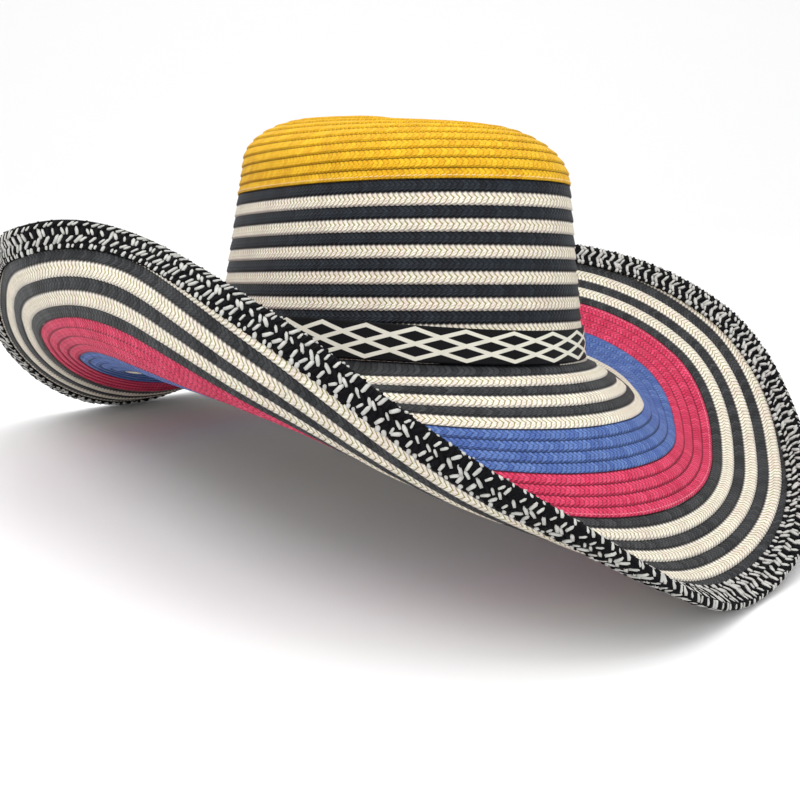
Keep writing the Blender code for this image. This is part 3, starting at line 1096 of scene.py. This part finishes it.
on_red = threads(brim, last_red, STITCH_PITCH, 0.0, WALL / 2 + 0.0002, 75, (0.0022, 0.0005, 0.0004))
red_stitches = thread_piece("red_stitches", [on_red], pink_thread, 8, 0.15)
above_wall = -WALL / 2 - 0.0003
on_yellow = threads(crown_side, last_yellow, STITCH_PITCH, 0.0, above_wall, 78, (0.0024, 0.0006, 0.0005))
yellow_stitches = thread_piece("yellow_stitches", [on_yellow], pale_thread, 9, 0.15)

# %% [markdown]
# ## Bodies and solids
#
# Each detailed wall stands for one solid, and everything is one body, because a hat has no moving parts.

# %% Bodies and solids
STANDS_FOR = (
    (crown_top_piece, "crown_top", "yellow_braid"),
    (crown_wall_piece, "crown_wall", "striped_braid"),
    (ribbon, "hat_band", "ribbon"),
    (brim_pieces["brim_inner_rows"], "brim_inner", "striped_braid"),
    (brim_pieces["brim_blue_rows"], "brim_blue", "blue_braid"),
    (brim_pieces["brim_red_rows"], "brim_red", "red_braid"),
    (brim_pieces["brim_outer_rows"], "brim_outer", "striped_braid"),
    (tape, "brim_edging", "edging_tape"),
)
for piece, solid, slot in STANDS_FOR:
    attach(piece, "root")
    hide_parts(solid)
    low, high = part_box(solid)
    points = np.empty(len(piece.data.vertices) * 3, np.float32)
    piece.data.vertices.foreach_get("co", points)
    points = points.reshape(-1, 3)
    grown = max((np.array(low) - points.min(0)).max(), (points.max(0) - np.array(high)).max())
    print(f"{piece.name}: stands {grown * 1000:.2f} mm outside the box of {solid} at most")
ADDED = (
    (floats, "edging_tape"),
    (black_floats, "edging_tape"),
    (red_stitches, "red_braid"),
    (yellow_stitches, "yellow_braid"),
)
for piece, slot in ADDED:
    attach(piece, "root")
print("threads added on the walls:", len(ADDED), "pieces")

# %% [markdown]
# ## Camera, light and floor
#
# The camera stands at the photo's angle to the hat, found by fitting the outline. It was found in the
# crown's own frame, so it is turned with the hat. The light is soft and even, as in a product photo, with
# the brighter side on the upper left. The threads of the edging stand proud of the solids, so the floor lies
# at the lowest of them. Behind the hat it curves up into a wall, so that no horizon shows.

# %% Camera
FOCAL_PIXELS = 1215.0
CAMERA_AZIMUTH = -48.9
CAMERA_DISTANCE = 0.65134
CAMERA_HEIGHT = 0.04036
PICTURE = 800
SENSOR = 36
MIDDLE = (392.9, 282.0)
side = math.radians(CAMERA_AZIMUTH)
eye = Vector((math.sin(side) * CAMERA_DISTANCE, -math.cos(side) * CAMERA_DISTANCE, CAMERA_HEIGHT))
ahead = Vector((-math.sin(side), math.cos(side), 0))
up = Vector((0, 0, 1))
right = ahead.cross(up)
pan = math.atan((MIDDLE[0] - PICTURE / 2) / FOCAL_PIXELS)
tilt = math.atan((MIDDLE[1] - PICTURE / 2) / FOCAL_PIXELS)
panned = ahead * math.cos(pan) - right * math.sin(pan)
camera_x = right * math.cos(pan) + ahead * math.sin(pan)
forward = panned * math.cos(tilt) + up * math.sin(tilt)
camera_y = up * math.cos(tilt) - panned * math.sin(tilt)
facing = Matrix((camera_x, camera_y, -forward)).transposed().to_4x4()
lens = bpy.data.cameras.new("camera")
lens.sensor_width = SENSOR
lens.lens = FOCAL_PIXELS / PICTURE * SENSOR
camera = put_in_scene("camera", lens)
camera.matrix_world = stand @ Matrix.Translation(eye) @ facing
bpy.context.scene.camera = camera
print("camera", [round(v, 3) for v in camera.matrix_world.translation])

# %% Floor
FLOOR_NEAR = -3.0
FLOOR_FAR = 1.5
FLOOR_HALF = 4.0
SWEEP = 1.2
SWEEP_STEPS = 12
WALL_TOP = 4.0
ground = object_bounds()[0][2]
profile = [(FLOOR_NEAR, 0.0), (FLOOR_FAR, 0.0)]
for k in range(1, SWEEP_STEPS + 1):
    angle = k / SWEEP_STEPS * math.pi / 2
    profile.append((FLOOR_FAR + SWEEP * math.sin(angle), SWEEP * (1 - math.cos(angle))))
profile.append((FLOOR_FAR + SWEEP, WALL_TOP))
toward = (stand.to_3x3() @ ahead).xy.normalized()
aside = Vector((toward.y, -toward.x))
corners = []
for far, high in profile:
    for across_by in (-FLOOR_HALF, FLOOR_HALF):
        flat_place = toward * far + aside * across_by
        corners.append((flat_place.x, flat_place.y, ground + high))
strips = [(2 * k, 2 * k + 1, 2 * k + 3, 2 * k + 2) for k in range(len(profile) - 1)]
floor_mesh = bpy.data.meshes.new("floor")
floor_mesh.from_pydata(corners, [], strips)
floor_mesh.shade_smooth()
floor = put_in_scene("floor", floor_mesh)
paper, tree, shader = shader_of("pale floor")
plug(shader, Base_Color=(0.86, 0.86, 0.86, 1), Roughness=0.9)
floor_mesh.materials.append(paper)
print("floor at", round(ground, 5), "m")

# %% Lamps and surroundings
AIM = Vector((0, 0, 0.1))
LAMPS = (
    # name, place, size, power in watts
    ("key", (-1.0, 0.2, 1.5), 0.9, 9),
    ("fill", (-1.3, -1.2, 0.5), 1.2, 5),
    ("top", (0.1, -0.1, 1.9), 1.2, 13),
)
for name, spot, size, power in LAMPS:
    light = bpy.data.lights.new(name, "AREA")
    light.size = size
    light.energy = power
    lamp = put_in_scene(name, light)
    lamp.location = spot
    lamp.rotation_euler = (AIM - Vector(spot)).to_track_quat("-Z", "Y").to_euler()
world = bpy.data.worlds.new("studio")
bpy.context.scene.world = world
world.use_nodes = True
plug(world.node_tree.nodes["Background"], Color=(1, 1, 1, 1), Strength=1.0)
bpy.context.scene.view_settings.view_transform = "Standard"
print("lamps:", len(LAMPS))
